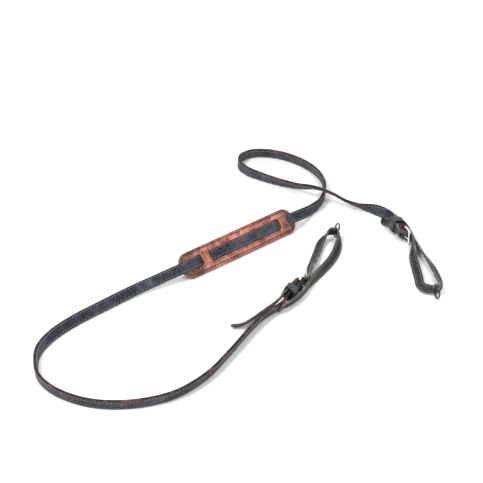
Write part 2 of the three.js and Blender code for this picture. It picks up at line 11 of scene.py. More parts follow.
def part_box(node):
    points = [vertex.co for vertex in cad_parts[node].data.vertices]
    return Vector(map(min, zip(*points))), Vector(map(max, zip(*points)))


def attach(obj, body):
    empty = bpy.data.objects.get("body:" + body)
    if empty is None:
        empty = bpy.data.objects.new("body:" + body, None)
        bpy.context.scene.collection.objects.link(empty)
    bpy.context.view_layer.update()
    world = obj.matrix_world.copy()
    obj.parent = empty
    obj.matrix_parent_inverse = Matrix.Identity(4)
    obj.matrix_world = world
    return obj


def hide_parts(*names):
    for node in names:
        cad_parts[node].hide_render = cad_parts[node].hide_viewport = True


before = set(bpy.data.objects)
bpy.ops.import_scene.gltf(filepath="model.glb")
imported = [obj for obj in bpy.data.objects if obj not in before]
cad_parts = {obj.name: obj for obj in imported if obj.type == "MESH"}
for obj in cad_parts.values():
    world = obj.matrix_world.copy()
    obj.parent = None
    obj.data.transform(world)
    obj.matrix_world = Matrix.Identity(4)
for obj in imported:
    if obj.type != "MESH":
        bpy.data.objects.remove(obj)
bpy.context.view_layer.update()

MM = 0.001
UP = np.array([0.0, 0.0, 1.0])

# Leather sizes, in millimetres, as in the solids.
STRAP = dict(width=11, thickness=2.8, skived=1.9, narrowed=9.6)
END = dict(width=9, thickness=1.9)
PAD = dict(length=146, width=26.5, thickness=2.6, corner=11)
SLOT = dict(length=5.5, bridge=9, clearance=0.7, rise=4.6, fade=4.9, gap=0.55)
KEEPER = dict(length=9, wall=1.4, slack=1.6, snug=0.6, corner=2.2, shift=1.25)
SKIVE = 12
GAP = 0.35

# Metal sizes.
FRAME = dict(width=16.4, length=12.8, wire=1.1, corner=1.6)
PRONG = dict(wire=0.7, slot=2.8, strap_slot=15.6, hole=7.4, play=0.25, over=1.6)
RING = dict(radius=7, wire=0.9, ahead=2.6)

# Finer sizes that only show here. A groove's spread is a share of its stitch's radius.
EDGE = dict(radius=0.8, flat=0.5)
# The slots' rim is how far the painted highlight round each slot reaches.
SHOWN_SLOT = dict(clearance=0.15, corner=2.6, rim=1.8)
SHOWN_END = dict(seam_start=2, hole_back=0.6, blunt_tip=0.995)
STITCH = dict(pitch=3.3, length=2.3, radius=0.42, inset=1.7, groove=0.26, spread=1.25, slant=12)
PAD_STITCH = dict(pitch=3.4, length=2.3, radius=0.5, inset=2.7, groove=0.3, spread=1.3, slant=12)
STITCH_LIFT = 0.55

# Mesh steps: the longest step and turn along a leather, and the sides of each round rod.
FINE = dict(strap=1.7, end_strap=1.5, turn=6, tip=12, keeper_round=96)
SIDES = dict(frame=16, prong=12, ring=10, stitch=6)

# How the strap is laid out on the floor.
LAYOUT = dict(length=400, depth=450)
REACH = 145
SPREAD = 12.7
PAD_POSE = dict(along=-0.00875, away=-0.0444, heading=41, lean=-44)
UNIT = dict(height=8.6, side=-1, turn=6.3, keeper_lean=24, buckle_lean=2, start=0.15, end=0.22)
NEAR = dict(name="near", along=0.09325, away=-0.2795, heading=66.1, hand=1, tail=1)
FAR = dict(name="far", along=0.375, away=0.0889, heading=-75, hand=-1, tail=0.25)

# The view: the photo's angle, a long lens two metres away.
VIEW = dict(distance=2.0, elevation=32, pixels_per_mm=1.0, frame=483, sensor=36)


def vec(x, y, z=0.0):
    return np.array([x, y, z], float)


def unit(v):
    return v / np.linalg.norm(v, axis=-1, keepdims=True)


def smooth(x):
    x = np.clip(x, 0, 1)
    return x * x * (3 - 2 * x)


def sin(degrees):
    return math.sin(math.radians(degrees))


def cos(degrees):
    return math.cos(math.radians(degrees))


# Routes: the middle line of a flat strap with a top direction at every place.


def curve_through(points, t):
    """Points of the centripetal Catmull-Rom curve at places 0 .. n - 1 of a list of n points."""
    last = len(points) - 1
    t = np.clip(t, 0, last)
    start = np.minimum(t.astype(int), last - 1)
    share = (t - start)[:, None]
    longer = np.vstack([2 * points[0] - points[1], points, 2 * points[-1] - points[-2]])
    p0, p1, p2, p3 = (longer[start + k] for k in range(4))

    def span(a, b, otherwise):
        size = np.sqrt(np.linalg.norm(b - a, axis=1, keepdims=True))
        return np.where(size < 1e-4, otherwise, size)

    d1 = span(p1, p2, 1.0)
    d0 = span(p0, p1, d1)
    d2 = span(p2, p3, d1)
    t1 = ((p1 - p0) / d0 - (p2 - p0) / (d0 + d1) + (p2 - p1) / d1) * d1
    t2 = ((p2 - p1) / d1 - (p3 - p1) / (d1 + d2) + (p3 - p2) / d2) * d1
    square = -3 * p1 + 3 * p2 - 2 * t1 - t2
    cube = 2 * p1 - 2 * p2 + t1 + t2
    return p1 + t1 * share + square * share**2 + cube * share**3


class Route:
    """A curve with a top direction at every place, measured along its length."""

    PER_ROW = 24

    def __init__(self, rows):
        self.at = np.array([row[0] for row in rows])
        self.top = np.array([row[1] for row in rows])
        count = (len(rows) - 1) * self.PER_ROW
        self.places = np.linspace(0, len(rows) - 1, count + 1)
        steps = np.linalg.norm(np.diff(curve_through(self.at, self.places), axis=0), axis=1)
        self.reached = np.concatenate([[0], np.cumsum(steps)])
        self.length = self.reached[-1]

    def at_row(self, index):
        return self.reached[index * self.PER_ROW]

    def frame(self, distance):
        """Places, ahead, top and face directions at a list of distances."""
        t = np.interp(np.atleast_1d(distance), self.reached, self.places)
        last = len(self.at) - 1
        ahead = curve_through(self.at, np.minimum(t + 1e-3, last)) - curve_through(
            self.at, np.maximum(t - 1e-3, 0))
        ahead = unit(ahead)
        top = curve_through(self.top, t)
        top = unit(top - ahead * np.sum(top * ahead, axis=1, keepdims=True))
        return curve_through(self.at, t), ahead, top, np.cross(ahead, top)

    def place(self, distance, across, out):
        """Points at distances along, heights across and offsets toward the face, as a grid."""
        at, _, top, face = self.frame(distance)
        return at[:, None] + top[:, None] * across[..., None] + face[:, None] * out[..., None]

    def stations(self, start, end, longest, turn):
        """Distances close enough together that no step turns or travels too far."""
        fine = np.arange(start, end, 0.2)
        _, ahead, top, _ = self.frame(fine)
        kept = [0]
        for i in range(1, len(fine)):
            last = kept[-1]
            bend = min(np.dot(ahead[i], ahead[last]), np.dot(top[i], top[last]))
            if fine[i] - fine[last] >= longest or bend < cos(turn):
                kept.append(i)
        if len(kept) > 1 and end - fine[kept[-1]] < 0.15:
            kept.pop()
        return np.append(fine[kept], end)


def top_for(heading, lean):
    """Top of a strap that heads one way on the floor and leans to its right by an angle."""
    right = unit(vec(heading[1], -heading[0]))
    return vec(0, 0, cos(lean)) + right * sin(lean)


def rest_height(size, top):
    """Height of a strap's middle above the floor when it rests on its lower edge."""
    return size["width"] / 2 * top[2] + size["thickness"] / 2 * math.sqrt(max(0, 1 - top[2] ** 2))


def on_layout(place, height=0.0):
    """The place of a named share of the layout, at a height."""
    return vec(place["along"] * LAYOUT["length"], place["away"] * LAYOUT["depth"], height)


def lay_on_floor(table):
    """Rows of the strap's route from (along, away, lean, lift) shares of the layout."""
    places = [vec(row[0] * LAYOUT["length"], row[1] * LAYOUT["depth"]) for row in table]
    rows = []
    for i, row in enumerate(table):
        heading = places[min(i + 1, len(places) - 1)] - places[max(i - 1, 0)]
        top = top_for(heading, row[2])
        lift = row[3] if len(row) > 3 else 0
        rows.append((places[i] + vec(0, 0, rest_height(STRAP, top) + lift * STRAP["width"]), top))
    return rows


# The pad and the weave of the strap through its two bridges.

PAD_AHEAD = vec(cos(PAD_POSE["heading"]), sin(PAD_POSE["heading"]))
PAD_TOP = top_for(PAD_AHEAD, PAD_POSE["lean"])
PAD_FACE = np.cross(PAD_AHEAD, PAD_TOP)
PAD_MIDDLE = on_layout(PAD_POSE, rest_height(PAD, PAD_TOP))
BRIDGES = (-0.3 * PAD["length"], 0.39 * PAD["length"])


def on_pad(u, across, out):
    """A place in the pad's own axes: along it, across it, and out from its middle plane."""
    u, across, out = np.broadcast_arrays(u, across, out)
    return (PAD_MIDDLE + u[..., None] * PAD_AHEAD + across[..., None] * PAD_TOP
            + out[..., None] * PAD_FACE)


def bridge_rise(u, across):
    """How far the pad's leather is raised over the strap at a bridge, fading out beside it."""
    half = STRAP["width"] / 2 + SLOT["clearance"]
    rise = 0
    for middle in BRIDGES:
        beside = 1 - smooth((np.abs(across) - half) / SLOT["fade"])
        beyond = 1 - smooth((np.abs(u - middle) - SLOT["bridge"] / 2) / SLOT["fade"])
        rise = np.maximum(rise, SLOT["rise"] * beside * beyond)
    return rise


def weave_offset(u):
    """The strap lies on the pad's front and dips a little to go under each bridge."""
    over = PAD["thickness"] / 2 + SLOT["gap"] + STRAP["thickness"] / 2
    under = SLOT["rise"] - PAD["thickness"] / 2 - SLOT["gap"] - STRAP["thickness"] / 2
    offset = over
    for middle in BRIDGES:
        dip = 1 - smooth((abs(u - middle) - SLOT["bridge"] / 2) / SLOT["length"])
        offset -= (over - under) * dip
    return offset


def weave_rows():
    """Rows of the strap where it runs along the pad."""
    bridge = SLOT["bridge"] / 2
    marks = [share * PAD["length"] for share in (-0.5, -0.418, -0.137, 0.034, 0.192, 0.5)]
    for middle in BRIDGES:
        end = bridge + SLOT["length"]
        for step in (-end - 1, -end + 1.5, -bridge - 1.2, 0, bridge + 1.2, end - 1.5, end + 1):
            marks.append(middle + step)
    return [(on_pad(u, 0, weave_offset(u)), PAD_TOP) for u in sorted(marks)]


# The buckled ends. Each has its own axes: reach toward the ring, side toward the free tail.


def end_axes(end):
    ahead = vec(cos(end["heading"]), sin(end["heading"]))
    side = end["hand"] * vec(-sin(end["heading"]), cos(end["heading"]))
    return ahead, side


def end_top(end, lean):
    """Top direction of leather in one end; a positive lean tips the top away from the tail."""
    return vec(0, 0, cos(lean)) - end_axes(end)[1] * sin(lean)


def unit_lean(reach):
    """How far the leather leans at a reach: it twists upright between the keeper and the buckle."""
    share = smooth((reach / REACH - UNIT["start"]) / (UNIT["end"] - UNIT["start"]))
    return UNIT["keeper_lean"] + (UNIT["buckle_lean"] - UNIT["keeper_lean"]) * share


def unit_axes(end, lean):
    """The buckle's own axes: ahead to the ring, top across the leather, front to the tail."""
    heading = end["heading"] - end["hand"] * UNIT["turn"]
    ahead = vec(cos(heading), sin(heading))
    side = end["hand"] * vec(-sin(heading), cos(heading))
    lean = np.radians(lean)[..., None]
    top = UP * np.cos(lean) - side * np.sin(lean)
    front = UP * np.sin(lean) + side * np.cos(lean)
    return ahead, top, front


def unit_place(end, reach, across, out, lean=None):
    """A place in the buckle's own axes: reach, height across the leather, offset to the tail."""
    reach, across, out = np.broadcast_arrays(reach, across, out)
    ahead, top, front = unit_axes(end, unit_lean(reach) if lean is None else np.float64(lean))
    main_ahead, side = end_axes(end)
    start = on_layout(end, UNIT["height"]) + KEEPER_REACH * main_ahead + UNIT["side"] * side
    return (start + (reach - KEEPER_REACH)[..., None] * ahead + across[..., None] * top
            + out[..., None] * front)


def unit_row(end, reach, out):
    return unit_place(end, reach, 0, out), unit_axes(end, unit_lean(np.float64(reach)))[1]


BAR_REACH = 0.27 * REACH
FOLD = FRAME["wire"] + 1.4 * GAP + STRAP["skived"] / 2
RING_LIFT = (RING["radius"] + RING["wire"] - END["width"] / 2) / END["width"]
KEEPER_REACH = 0.155 * REACH

# Where the strap comes to an end: reach, side, lean and lift, as shares of REACH, SPREAD and width.
APPROACH = (
    (-0.083, 0.5, 22, 0),
    (-0.028, 0.2, 26, 0.06),
    (0.045, 0.03, 29, 0.19),
)

# The right leg of the end loop, from the sewn end to the ring.
RIGHT_LEG = (
    (0.075, -0.41, 22, 0.08),
    (0.165, -0.68, 12, 0.12),
    (0.247, -0.72, 5, 0.08),
    (0.347, -0.7, -5, 0.02),
    (0.437, -0.77, -20, 0),
    (0.551, -0.86, -38, 0),
    (0.686, -0.92, -52, 0),
    (0.817, -0.79, -52, 0.02),
    (0.92, -0.5, -30, 0.2),
)

# Round the ring, standing on edge.
RING_TURN = (
    (0.975, -0.22, -10, RING_LIFT),
    (0.992, -0.02, 0, RING_LIFT),
    (0.995, 0.12, 0, RING_LIFT),
    (0.992, 0.26, 0, RING_LIFT),
    (0.975, 0.5, 12, RING_LIFT),
)

# The left leg, from the ring to the buckle.
LEFT_LEG = (
    (0.93, 0.74, 45, 0.2),
    (0.865, 0.8, 66, 0.02),
    (0.77, 0.59, 70, 0),
    (0.63, 0.3, 62, 0.05),
    (0.53, 0.1, 47, 0.18),
)

# The free tail after the keeper.
TAIL = (
    (0.075, 0.5, 33, 0.2),
    (0.02, 0.71, 34, 0.05),
    (-0.088, 1.08, 35, 0),
    (-0.2, 1.44, 38, 0),
    (-0.283, 1.9, 50, 0),
    (-0.314, 2.5, 60, 0),
)

# The strap's way over the floor: along, away, lean and lift.
BIG_LOOP = (
    (0.049, -0.318, -20),
    (0.02, -0.362, -20),
    (-0.027, -0.445, -18),
    (-0.082, -0.53, -15),
    (-0.154, -0.592, -15),
    (-0.245, -0.62, -15),
    (-0.334, -0.616, -15),
    (-0.412, -0.579, -12),
    (-0.454, -0.532, -8),
    (-0.466, -0.485, -8),
    (-0.464, -0.437, -15),
    (-0.438, -0.383, -24),
    (-0.39, -0.328, -30),
    (-0.334, -0.279, -33),
    (-0.25, -0.212, -36, 0.08),
)
SMALL_LOOP = (
    (0.176, 0.113, -8, 0.05),
    (0.202, 0.15, 5),
    (0.215, 0.204, 5),
    (0.209, 0.261, -8),
    (0.181, 0.31, -10),
    (0.129, 0.354, -14),
    (0.071, 0.376, -15),
    (0.023, 0.373, -12),
    (-0.002, 0.352, -5),
    (-0.005, 0.324, 0),
    (0.014, 0.293, 3),
    (0.049, 0.268, 12),
    (0.088, 0.246, 20),
    (0.126, 0.226, 30, 0.1),
    (0.152, 0.207, 39, 0.38),
    (0.182, 0.185, 49, 0.86),
    (0.209, 0.165, 54, 1.09),
    (0.24, 0.151, 54, 0.86),
    (0.268, 0.142, 52, 0.42),
    (0.3, 0.133, 44, 0.1),
)


def end_rows(end, table, size):
    ahead, side = end_axes(end)
    places = [on_layout(end) + row[0] * REACH * ahead + row[1] * SPREAD * side for row in table]
    rows = []
    for i, row in enumerate(table):
        heading = unit(places[min(i + 1, len(places) - 1)] - places[max(i - 1, 0)])
        top = end_top(end, row[2])
        top = unit(top - heading * np.dot(top, heading))
        rows.append((places[i] + vec(0, 0, rest_height(size, top) + row[3] * size["width"]), top))
    return rows


# The strap from its sewn place to the bar and back: reach as a share of REACH, and offset.
TO_BAR = ((0.105, 0.3), (0.14, 0.8), (0.185, 1.2), (0.235, 1.9))
FROM_BAR = ((0.235, -1.9), (0.185, -1.7), (0.13, -1.9))
FOLD_STEPS = 8


def buckle_rows(end):
    """Rows of the strap from where the end strap is sewn on, round the buckle's bar and back."""
    rows = [unit_row(end, reach * REACH, out) for reach, out in TO_BAR]
    for k in range(FOLD_STEPS + 1):
        turn = 90 - k / FOLD_STEPS * 180
        rows.append(unit_row(end, BAR_REACH + FOLD * cos(turn), FOLD * sin(turn)))
    return rows + [unit_row(end, reach * REACH, out) for reach, out in FROM_BAR]


def strap_route():
    near, far = (end_rows(end, APPROACH, STRAP) + buckle_rows(end) for end in (NEAR, FAR))
    return Route(near[::-1] + lay_on_floor(BIG_LOOP) + weave_rows() + lay_on_floor(SMALL_LOOP)
                 + far)


strap_line = strap_route()
ROW_COUNT = len(strap_line.at)
FOLD_ROWS = len(buckle_rows(NEAR))
APEX_ROW = len(TO_BAR) + FOLD_STEPS // 2
SEWN_AT = dict(near=strap_line.at_row(FOLD_ROWS + 1),
               far=strap_line.at_row(ROW_COUNT - 2 - FOLD_ROWS))
BAR_AT = dict(near=strap_line.at_row(FOLD_ROWS - 1 - APEX_ROW),
              far=strap_line.at_row(ROW_COUNT - FOLD_ROWS + APEX_ROW))


# Where the end strap is sewn on, as distances along the strap, and the rows of a short tail.
SEWN_STEPS = (1, 4, 7)
SHORT_TAIL = 2


def sewn_rows(end):
    """Rows of the end strap where it lies sewn along the strap."""
    onward = -1 if end["name"] == "near" else 1
    apart = STRAP["thickness"] / 2 + 1.3 * GAP + END["thickness"] / 2
    rows = []
    for step in SEWN_STEPS:
        at, _, top, face = strap_line.frame(SEWN_AT[end["name"]] + onward * step)
        rows.append((at[0] - face[0] * apart, top[0]))
    return rows


def through_buckle(end):
    """Rows of the end strap from behind the rail, over the folded strap and into the keeper."""
    behind = -(FRAME["wire"] + GAP + END["thickness"] / 2)
    before = FOLD + STRAP["skived"] / 2 + GAP + END["thickness"] / 2
    rail = BAR_REACH + FRAME["length"] - 2 * FRAME["wire"]
    places = (
        (rail + 3, behind - 0.2),
        (rail - 0.6, behind),
        (rail - 3.2, behind + 2.1),
        (BAR_REACH + 3.6, before - 1.3),
        (BAR_REACH + 1, before + 0.1),
        (BAR_REACH - 2, before + 0.1),
        (BAR_REACH - 6, before - 0.2),
        (KEEPER_REACH + 4.5, 4.1),
        (KEEPER_REACH - 3, 4),
        (KEEPER_REACH - 6, 4.2),
    )
    return [unit_row(end, reach, out) for reach, out in places]


def end_route(end):
    """The end strap: sewn end, right leg, ring, left leg, buckle, keeper and free tail."""
    tail = TAIL if end["tail"] == 1 else TAIL[:SHORT_TAIL]
    return Route(sewn_rows(end) + end_rows(end, RIGHT_LEG, END) + end_rows(end, RING_TURN, END)
                 + end_rows(end, LEFT_LEG, END) + through_buckle(end) + end_rows(end, tail, END))


def ring_centre(end):
    ahead, side = end_axes(end)
    return (on_layout(end, RING["radius"] + RING["wire"])
            + (0.995 * REACH + RING["ahead"]) * ahead + 0.12 * SPREAD * side)


def row_shift():
    """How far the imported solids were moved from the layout: their ring's box says it."""
    low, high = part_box("lug_ring_near")
    return (np.array(low) + np.array(high)) / 2 / MM - ring_centre(NEAR)


SHIFT = row_shift()


# Meshes.


def new_object(name, data):
    """An object in the scene, made from its data."""
    thing = bpy.data.objects.new(name, data)
    bpy.context.scene.collection.objects.link(thing)
    return thing


def mesh_piece(name, points, faces, material, slot, attributes=None, replaces=()):
    """A piece of the object from points in the layout's millimetres, riding on the root body."""
    mesh = bpy.data.meshes.new(name)
    points = (np.asarray(points, float).reshape(-1, 3) + SHIFT) * MM
    mesh.from_pydata(points.tolist(), [], [list(map(int, face)) for face in faces])
    for key, values in (attributes or {}).items():
        kind = "FLOAT" if values.ndim == 1 else "FLOAT_VECTOR"
        entry = mesh.attributes.new(key, kind, "POINT")
        entry.data.foreach_set("value" if kind == "FLOAT" else "vector", values.ravel())
    build = bmesh.new()
    build.from_mesh(mesh)
    loose = [v for v in build.verts if not v.link_faces]
    bmesh.ops.delete(build, geom=loose, context="VERTS")
    bmesh.ops.recalc_face_normals(build, faces=build.faces)
    build.to_mesh(mesh)
    build.free()
    mesh.shade_smooth()
    mesh.materials.append(material)
    piece = new_object(name, mesh)
    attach(piece, "root")
    if replaces:
        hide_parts(*replaces)
    return piece


def rounding(inset):
    """Share of the full thickness at a distance from a leather's edge."""
    into = np.clip(inset / EDGE["radius"], 0, 1)
    return EDGE["flat"] + (1 - EDGE["flat"]) * np.sqrt(1 - (1 - into) ** 2)


def edge_mark(inset):
    """1 on a leather's edge, fading out where the rounding ends."""
    return 1 - smooth(inset / EDGE["radius"])


def groove_half(stitch):
    """Half the width of the groove that a seam lies in."""
    return stitch["spread"] * stitch["radius"]


def groove_mark(inset, stitch):
    """1 in the middle of a seam's groove, fading out beside it."""
    return smooth(1 - np.abs(inset - stitch["inset"]) / groove_half(stitch))


# Insets of the fine columns at an edge, and those of a groove as shares of its half width.
EDGE_INSETS = (0, 0.06, 0.2, 0.42, EDGE["radius"])
GROOVE_COLUMNS = (-1.1, -0.5, 0, 0.5, 1.1)
BESIDE_GROOVE = 1.1


def columns(half, slot):
    """Places across a strap as shares of its half width: close at its edges, grooves and slot."""
    groove = [STITCH["inset"] + step * groove_half(STITCH) for step in GROOVE_COLUMNS]
    insets = [*EDGE_INSETS, *groove, STITCH["inset"] + BESIDE_GROOVE]
    right = [1 - inset / half for inset in insets]
    right += [right[-1] / 2, 0.0, slot]
    return np.array(sorted(set([-share for share in right] + right)))


def leather_sheet(along, shares, half_at, thickness_at, route, windows):
    """Points, faces and marks of a long leather: front, back, and a wall on every open edge."""
    half = half_at(along)
    across = half[:, None] * shares[None, :]
    inset = half[:, None] * (1 - np.abs(shares))[None, :]
    inset = np.minimum(inset, np.minimum(along - along[0], along[-1] - along)[:, None])
    depth = groove_mark(inset, STITCH)
    thick = thickness_at(along)[:, None] / 2 * rounding(inset) - STITCH["groove"] * depth
    sides = [route.place(along, across, side * thick) for side in (1, -1)]
    n, m = len(along), len(shares)
    number = np.arange(n * m).reshape(n, m)
    u = (along[1:] + along[:-1]) / 2
    v = (shares[1:] + shares[:-1]) / 2
    kept = np.ones((n - 1, m - 1), bool)
    for start, end, low, high in windows:
        kept &= ~(((u > start) & (u < end))[:, None] & ((v > low) & (v < high))[None, :])
    cells = np.stack([number[:-1, :-1], number[1:, :-1], number[1:, 1:], number[:-1, 1:]], -1)[kept]
    padded = np.pad(kept, 1)
    walls = []
    for i, j in np.argwhere(padded[:-1, 1:-1] != padded[1:, 1:-1]):
        here, beside = number[i, j], number[i, j + 1]
        walls.append((here, beside, beside + n * m, here + n * m))
    for i, j in np.argwhere(padded[1:-1, :-1] != padded[1:-1, 1:]):
        here, after = number[i, j], number[i + 1, j]
        walls.append((here, after, after + n * m, here + n * m))
    faces = cells.tolist() + (cells + n * m).tolist() + walls
    along_grid = np.broadcast_to(along[:, None], across.shape)
    marks = [np.stack([along_grid, across, np.full(across.shape, float(side))], -1)
             for side in (1, -1)]
    edge = np.tile(edge_mark(inset).ravel(), 2)
    groove = np.tile(depth.ravel(), 2)
    marks = {"leather": np.concatenate(marks), "edge": edge, "groove": groove}
    return np.concatenate(sides), faces, marks


# A stitch's rings: place along it as a share of half its length, then size and drop as shares
# of its radius. Both ends dip into the leather.
STITCH_RINGS = (
    (-1, 0.3, -0.7),
    (-0.82, 0.75, -0.35),
    (-0.4, 1, -0.035),
    (0.4, 1, -0.035),
    (0.82, 0.75, -0.35),
    (1, 0.3, -0.7),
)


def band(here, after, sides, turn=0):
    """Faces between two rings of points, the second one turned by some of its corners."""
    return [(here * sides + k, here * sides + (k + 1) % sides,
             after * sides + (k + 1 + turn) % sides, after * sides + (k + turn) % sides)
            for k in range(sides)]


def loop_faces(count, sides, turn=0):
    """Faces of rings that close on themselves, the first one turned where the last meets it."""
    faces = [face for i in range(count - 1) for face in band(i, i + 1, sides)]
    return faces + band(count - 1, 0, sides, turn)


def rod_faces(count, sides):
    """Faces of an open rod of rings, with both of its ends closed."""
    faces = [face for i in range(count - 1) for face in band(i, i + 1, sides)]
    last = (count - 1) * sides
    return faces + [tuple(range(sides))[::-1], tuple(range(last, last + sides))]


def one_stitch(length, radius):
    """One stitch as points round short rings, and its faces."""
    sides = SIDES["stitch"]
    points = []
    for ahead, size, drop in STITCH_RINGS:
        for k in range(sides):
            turn = 360 * k / sides
            points.append((ahead * length / 2, size * radius * cos(turn),
                           (size * sin(turn) + drop) * radius))
    return np.array(points), rod_faces(len(STITCH_RINGS), sides)


def stitch_mesh(centres, aheads, outs, sizes):
    """All the stitches of some seams as one set of points and faces."""
    base, base_faces = one_stitch(sizes["length"], sizes["radius"])
    centres, outs = np.concatenate(centres), np.concatenate(outs)
    aheads = unit(np.concatenate(aheads))
    outs = unit(outs - aheads * np.sum(outs * aheads, axis=1, keepdims=True))
    beside = np.cross(outs, aheads)
    slanted = aheads * cos(sizes["slant"]) + beside * sin(sizes["slant"])
    beside = np.cross(outs, slanted)
    points = (centres[:, None] + base[None, :, 0:1] * slanted[:, None]
              + base[None, :, 1:2] * beside[:, None] + base[None, :, 2:3] * outs[:, None])
    count = len(base)
    faces = [tuple(k * count + corner for corner in face)
             for k in range(len(centres)) for face in base_faces]
    return points, faces


def stitch_height(thickness, stitch):
    """How far a stitch's middle lies from the middle plane of its leather."""
    return thickness / 2 - stitch["groove"] + STITCH_LIFT * stitch["radius"]


def strap_stitches(name, route, start, end, half, thickness):
    """The stitches along both edges and on both faces of a strap, as a piece."""
    count = int((end - start) / STITCH["pitch"])
    along = start + (np.arange(count) + 0.5) * (end - start) / count
    at, ahead, top, face = route.frame(along)
    centres, outs = [], []
    for edge in (1, -1):
        for side in (1, -1):
            raised = side * stitch_height(thickness, STITCH)
            centres.append(at + top * edge * (half - STITCH["inset"]) + face * raised)
            outs.append(face * side)
    seams = stitch_mesh(centres, [ahead] * 4, outs, STITCH)
    mesh_piece(name, *seams, NAVY_THREAD, "strap_leather")


# Materials: procedural leather, thread and metal.


class Nodes:
    """A short way to make and join shader nodes."""

    def __init__(self, name):
        self.material = bpy.data.materials.new(name)
        self.material.use_nodes = True
        self.tree = self.material.node_tree
        self.shader = self.tree.nodes["Principled BSDF"]
        self.where = self.add("ShaderNodeTexCoord").outputs["Object"]

    def add(self, kind, inputs=None, **settings):
        node = self.tree.nodes.new(kind)
        for key, value in settings.items():
            setattr(node, key, value)
        for key, value in (inputs or {}).items():
            self.set(node.inputs[key], value)
        return node

    def set(self, socket, value):
        if isinstance(value, bpy.types.NodeSocket):
            self.tree.links.new(value, socket)
        else:
            socket.default_value = value

    def look(self, name, value):
        """Give one of the shader's inputs a value or a pattern."""
        self.set(self.shader.inputs[name], value)

    def noise(self, scale, detail, roughness):
        inputs = {"Vector": self.where, "Scale": scale, "Detail": detail, "Roughness": roughness}
        return self.add("ShaderNodeTexNoise", inputs).outputs["Fac"]

    def ramp(self, value, low, high, start=0.0, end=1.0):
        node = self.add("ShaderNodeMapRange", {"Value": value, "From Min": low, "From Max": high,
                                               "To Min": start, "To Max": end})
        node.clamp = True
        return node.outputs["Result"]

    def mix(self, share, a, b):
        """A colour between two: the sockets of a Mix node's colours have no names of their own."""
        node = self.add("ShaderNodeMix", data_type="RGBA")
        self.set(node.inputs["Factor"], share)
        self.set(node.inputs[6], a)
        self.set(node.inputs[7], b)
        return node.outputs[2]

    def cover(self, face, mask, strength, over):
        """A colour laid over a face where a mask shows, at a strength."""
        return self.mix(self.math("MULTIPLY", mask, strength), face, over)

    def pores(self, scale, width):
        """1 inside the cells of a leather's grain and 0 along the lines between them."""
        inputs = {"Vector": self.where, "Scale": scale, "Randomness": 1.0}
        cells = self.add("ShaderNodeTexVoronoi", inputs, feature="DISTANCE_TO_EDGE")
        return self.ramp(cells.outputs["Distance"], 0, width)

    def bump(self, strength, distance, height):
        node = self.add("ShaderNodeBump", {"Strength": strength, "Distance": distance,
                                           "Height": height})
        self.look("Normal", node.outputs["Normal"])

    def math(self, operation, a, b):
        node = self.add("ShaderNodeMath", operation=operation)
        self.set(node.inputs[0], a)
        self.set(node.inputs[1], b)
        return node.outputs[0]

    def attribute(self, name, output="Fac"):
        return self.add("ShaderNodeAttribute", attribute_name=name).outputs[output]


def colour(red, green, blue):
    """An sRGB colour of 0 to 255 as the linear colour that a shader takes."""
    def linear(value):
        value /= 255
        return value / 12.92 if value <= 0.04045 else ((value + 0.055) / 1.055) ** 2.4
    return (linear(red), linear(green), linear(blue), 1.0)


# Scales of the leathers' clouds, specks and grain, in turns per metre.
STRAP_GRAIN = dict(clouds=42, patches=230, specks=620, wear=120, gloss=240, cells=950)
PAD_GRAIN = dict(clouds=38, streaks=130, specks=900, gloss=200, fine=1300, cells=700)


def strap_leather(name, front, back, edge, pale, deep):
    """Dark leather in two layers: grain in front, a browner lining behind, burnished edges."""
    m = Nodes(name)
    leather = m.attribute("leather", "Vector")
    parts = m.add("ShaderNodeSeparateXYZ", {"Vector": leather}).outputs
    is_front = m.ramp(parts["Z"], -0.02, 0.02)
    face = m.mix(is_front, back, front)
    cloudy = m.ramp(m.noise(STRAP_GRAIN["clouds"], 4, 0.65), 0.44, 0.62)
    patches = m.ramp(m.noise(STRAP_GRAIN["patches"], 5, 0.8), 0.42, 0.6)
    specks = m.ramp(m.noise(STRAP_GRAIN["specks"], 5, 0.85), 0.48, 0.62)
    face = m.cover(face, cloudy, 0.34, pale)
    face = m.cover(face, patches, 0.7, deep)
    face = m.cover(face, specks, 0.4, pale)
    face = m.cover(face, m.attribute("groove"), 0.7, deep)
    worn = m.ramp(m.noise(STRAP_GRAIN["wear"], 5, 0.75), 0.5, 0.62)
    brown = m.mix(worn, edge[0], edge[1])
    seam = m.ramp(m.math("ABSOLUTE", parts["Z"], 0.0), 0.05, 0.35, 0.9, 0.0)
    brown = m.mix(seam, brown, deep)
    at_edge = m.ramp(m.attribute("edge"), 0.25, 0.8)
    m.look("Base Color", m.mix(at_edge, face, brown))
    rough = m.ramp(m.noise(STRAP_GRAIN["gloss"], 3, 0.6), 0.3, 0.7, 0.4, 0.6)
    m.look("Roughness", rough)
    m.look("Specular IOR Level", 0.22)
    pores = m.pores(STRAP_GRAIN["cells"], 0.25)
    m.bump(0.6, 0.16 * MM, m.math("ADD", m.math("MULTIPLY", pores, 0.6), specks))
    return m.material


